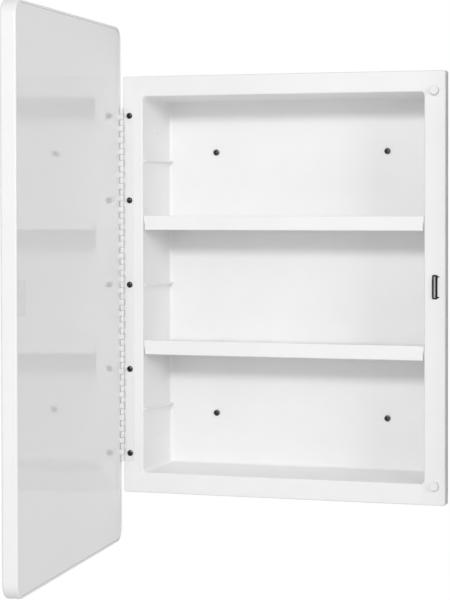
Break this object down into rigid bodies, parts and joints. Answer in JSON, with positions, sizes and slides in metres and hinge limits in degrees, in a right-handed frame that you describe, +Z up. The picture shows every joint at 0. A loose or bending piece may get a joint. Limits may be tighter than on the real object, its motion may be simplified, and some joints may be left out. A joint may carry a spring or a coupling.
{
  "type": "mirrored medicine cabinet",
  "caption": "Recessed medicine cabinet with a rounded mirror door on a full-height hinge, a moulded white box with shelf ledges, lift-out shelves and a magnetic catch.",
  "frame": {"origin": "middle of the four wall screws, on the outer face of the back wall", "axes": "+X to the right seen from the room, +Y into the wall, +Z up; the door stands open at rest"},
  "size_m": [0.4115, 0.5081, 0.6096],
  "materials": {
    "white_moulding": "satin",
    "shelf_moulding": "satin",
    "white_steel": "satin",
    "liner_steel": "gloss",
    "hinge_steel": "satin",
    "pin_steel": "satin",
    "screw_steel": "polished",
    "catch_black": "matte",
    "magnet_black": "matte",
    "pole_steel": "satin",
    "white_rubber": "satin",
    "rim_plastic": "satin",
    "core_board": "matte",
    "hardboard": "matte",
    "wood_strip": "matte",
    "tape": "matte",
    "silver_film": "polished",
    "mirror_glass": "polished"
  },
  "bodies": {
    "cabinet": {"cabinet_body": "white_moulding", "hinge_cabinet_leaf": "hinge_steel", "hinge_pin": "pin_steel", "cabinet_leaf_screws": "screw_steel", "catch_housing": "catch_black", "catch_magnets": "magnet_black", "catch_pole_plate": "pole_steel", "upper_bumper": "white_rubber", "lower_bumper": "white_rubber", "wall_screws": "screw_steel"},
    "door": {"door_frame": "rim_plastic", "door_liner": "liner_steel", "door_core": "core_board", "door_backing_board": "hardboard", "hinge_backing_strip": "wood_strip", "hinge_door_leaf": "hinge_steel", "door_leaf_screws": "screw_steel", "mirror_tapes": "tape", "mirror_film": "silver_film", "mirror_glass": "mirror_glass", "strike_plate": "white_steel", "strike_rivets": "white_steel"},
    "upper_shelf": {"upper_shelf": "shelf_moulding"},
    "lower_shelf": {"lower_shelf": "shelf_moulding"}
  },
  "joints": [
    {"name": "door_hinge", "type": "hinge", "parent": "cabinet", "child": "door", "pos_m": [-0.1959, -0.0872, 0], "axis": [0, 0, 1], "range_deg": [-21.6, 83.4]},
    {"name": "upper_shelf_lift", "type": "slide", "parent": "cabinet", "child": "upper_shelf", "axis": [0, 0, 1], "range_m": [0, 0.06]},
    {"name": "lower_shelf_lift", "type": "slide", "parent": "cabinet", "child": "lower_shelf", "axis": [0, 0, 1], "range_m": [0, 0.06]}
  ]
}
